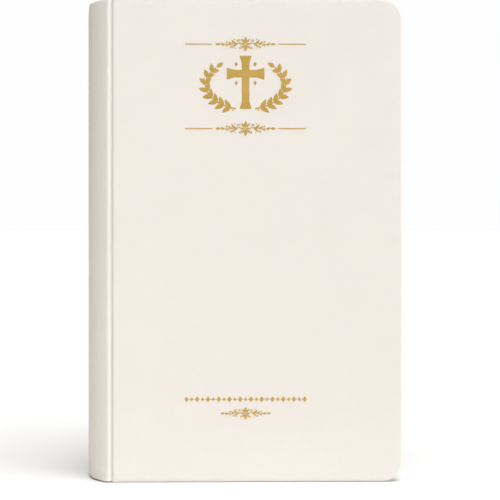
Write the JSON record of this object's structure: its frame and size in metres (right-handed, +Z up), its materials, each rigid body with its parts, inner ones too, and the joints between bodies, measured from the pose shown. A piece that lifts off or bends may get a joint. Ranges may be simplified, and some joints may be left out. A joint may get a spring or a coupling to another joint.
{
  "type": "bible",
  "caption": "Gift bible standing on its tail edge: ivory padded covers with a round spine and gold stamping, sewn leaves inside, and covers that open.",
  "frame": {"origin": "middle of the base that the book stands on: half way between spine and fore-edge, and half way between the two covers", "axes": "+Z up from the tail edge to the head, +X from the spine to the fore-edge, +Y from the front cover to the back cover"},
  "size_m": [0.142, 0.0301, 0.216],
  "materials": {
    "cover_skin": "matte",
    "board": "matte",
    "endpaper": "matte",
    "leaves": "matte",
    "gauze": "matte",
    "kraft": "matte",
    "thread": "matte",
    "band": "matte",
    "gold_foil": "satin"
  },
  "bodies": {
    "root": {"spine_cover_skin": "cover_skin", "spine_inlay": "board", "kraft_spine_lining": "kraft", "spine_gauze": "gauze", "headband": "band", "tailband": "band", "sewing_thread_1": "thread", "sewing_thread_2": "thread", "sewing_thread_3": "thread", "sewing_thread_4": "thread", "sewing_thread_5": "thread", "signature_01_fold": "leaves", "signature_02_fold": "leaves", "signature_03_fold": "leaves", "signature_04_fold": "leaves", "signature_19_fold": "leaves", "signature_20_fold": "leaves", "signature_05": "leaves", "signature_06": "leaves", "signature_07": "leaves", "signature_08": "leaves", "signature_09": "leaves", "signature_10": "leaves", "signature_11": "leaves", "signature_12": "leaves", "signature_13": "leaves", "signature_14": "leaves", "signature_15": "leaves", "signature_16": "leaves", "signature_17": "leaves", "signature_18": "leaves"},
    "front_cover": {"front_cover_skin": "cover_skin", "front_board": "board", "front_gauze_flap": "gauze", "front_pastedown": "endpaper", "foil_cross": "gold_foil", "foil_left_spray": "gold_foil", "foil_right_spray": "gold_foil", "foil_upper_ornament": "gold_foil", "foil_lower_ornament": "gold_foil", "foil_footer_row": "gold_foil", "foil_footer_ornament": "gold_foil"},
    "back_cover": {"back_cover_skin": "cover_skin", "back_board": "board", "back_gauze_flap": "gauze", "back_pastedown": "endpaper"},
    "front_flyleaf": {"front_flyleaf": "endpaper"},
    "front_leaves_1": {"front_leaves_1": "leaves"},
    "front_leaves_2": {"front_leaves_2": "leaves"},
    "front_leaves_3": {"front_leaves_3": "leaves"},
    "front_leaves_4": {"front_leaves_4": "leaves"},
    "front_leaves_5": {"front_leaves_5": "leaves"},
    "front_leaves_6": {"front_leaves_6": "leaves"},
    "back_flyleaf": {"back_flyleaf": "endpaper"},
    "back_leaves_1": {"back_leaves_1": "leaves"},
    "back_leaves_2": {"back_leaves_2": "leaves"},
    "back_leaves_3": {"back_leaves_3": "leaves"}
  },
  "joints": [
    {"name": "front_cover_hinge", "type": "hinge", "parent": "root", "child": "front_cover", "pos_m": [-0.059, -0.0151, 0.108], "axis": [0, 0, -1], "range_deg": [0, 175]},
    {"name": "front_flyleaf_turn", "type": "hinge", "parent": "root", "child": "front_flyleaf", "pos_m": [-0.0569, -0.0114, 0.108], "axis": [0, 0, -1], "range_deg": [0, 109]},
    {"name": "front_leaves_1_turn", "type": "hinge", "parent": "root", "child": "front_leaves_1", "pos_m": [-0.0569, -0.0114, 0.108], "axis": [0, 0, -1], "range_deg": [0, 98.5]},
    {"name": "front_leaves_2_turn", "type": "hinge", "parent": "root", "child": "front_leaves_2", "pos_m": [-0.0569, -0.0114, 0.108], "axis": [0, 0, -1], "range_deg": [0, 86.2]},
    {"name": "front_leaves_3_turn", "type": "hinge", "parent": "root", "child": "front_leaves_3", "pos_m": [-0.0569, -0.0114, 0.108], "axis": [0, 0, -1], "range_deg": [0, 74]},
    {"name": "front_leaves_4_turn", "type": "hinge", "parent": "root", "child": "front_leaves_4", "pos_m": [-0.0569, -0.0114, 0.108], "axis": [0, 0, -1], "range_deg": [0, 58.2]},
    {"name": "front_leaves_5_turn", "type": "hinge", "parent": "root", "child": "front_leaves_5", "pos_m": [-0.0569, -0.0114, 0.108], "axis": [0, 0, -1], "range_deg": [0, 40.8]},
    {"name": "front_leaves_6_turn", "type": "hinge", "parent": "root", "child": "front_leaves_6", "pos_m": [-0.0569, -0.0114, 0.108], "axis": [0, 0, -1], "range_deg": [0, 21.5]},
    {"name": "back_cover_hinge", "type": "hinge", "parent": "root", "child": "back_cover", "pos_m": [-0.059, 0.0151, 0.108], "axis": [0, 0, 1], "range_deg": [0, 175]},
    {"name": "back_flyleaf_turn", "type": "hinge", "parent": "root", "child": "back_flyleaf", "pos_m": [-0.0569, 0.0114, 0.108], "axis": [0, 0, 1], "range_deg": [0, 109]},
    {"name": "back_leaves_1_turn", "type": "hinge", "parent": "root", "child": "back_leaves_1", "pos_m": [-0.0569, 0.0114, 0.108], "axis": [0, 0, 1], "range_deg": [0, 91.5]},
    {"name": "back_leaves_2_turn", "type": "hinge", "parent": "root", "child": "back_leaves_2", "pos_m": [-0.0569, 0.0114, 0.108], "axis": [0, 0, 1], "range_deg": [0, 67]},
    {"name": "back_leaves_3_turn", "type": "hinge", "parent": "root", "child": "back_leaves_3", "pos_m": [-0.0569, 0.0114, 0.108], "axis": [0, 0, 1], "range_deg": [0, 35.5]}
  ],
  "couplings": [
    {"joint": "front_flyleaf_turn", "follows": "front_cover_hinge", "ratio": 0.62},
    {"joint": "front_leaves_1_turn", "follows": "front_cover_hinge", "ratio": 0.56},
    {"joint": "front_leaves_2_turn", "follows": "front_cover_hinge", "ratio": 0.49},
    {"joint": "front_leaves_3_turn", "follows": "front_cover_hinge", "ratio": 0.42},
    {"joint": "front_leaves_4_turn", "follows": "front_cover_hinge", "ratio": 0.33},
    {"joint": "front_leaves_5_turn", "follows": "front_cover_hinge", "ratio": 0.23},
    {"joint": "front_leaves_6_turn", "follows": "front_cover_hinge", "ratio": 0.12},
    {"joint": "back_flyleaf_turn", "follows": "back_cover_hinge", "ratio": 0.62},
    {"joint": "back_leaves_1_turn", "follows": "back_cover_hinge", "ratio": 0.52},
    {"joint": "back_leaves_2_turn", "follows": "back_cover_hinge", "ratio": 0.38},
    {"joint": "back_leaves_3_turn", "follows": "back_cover_hinge", "ratio": 0.2}
  ]
}
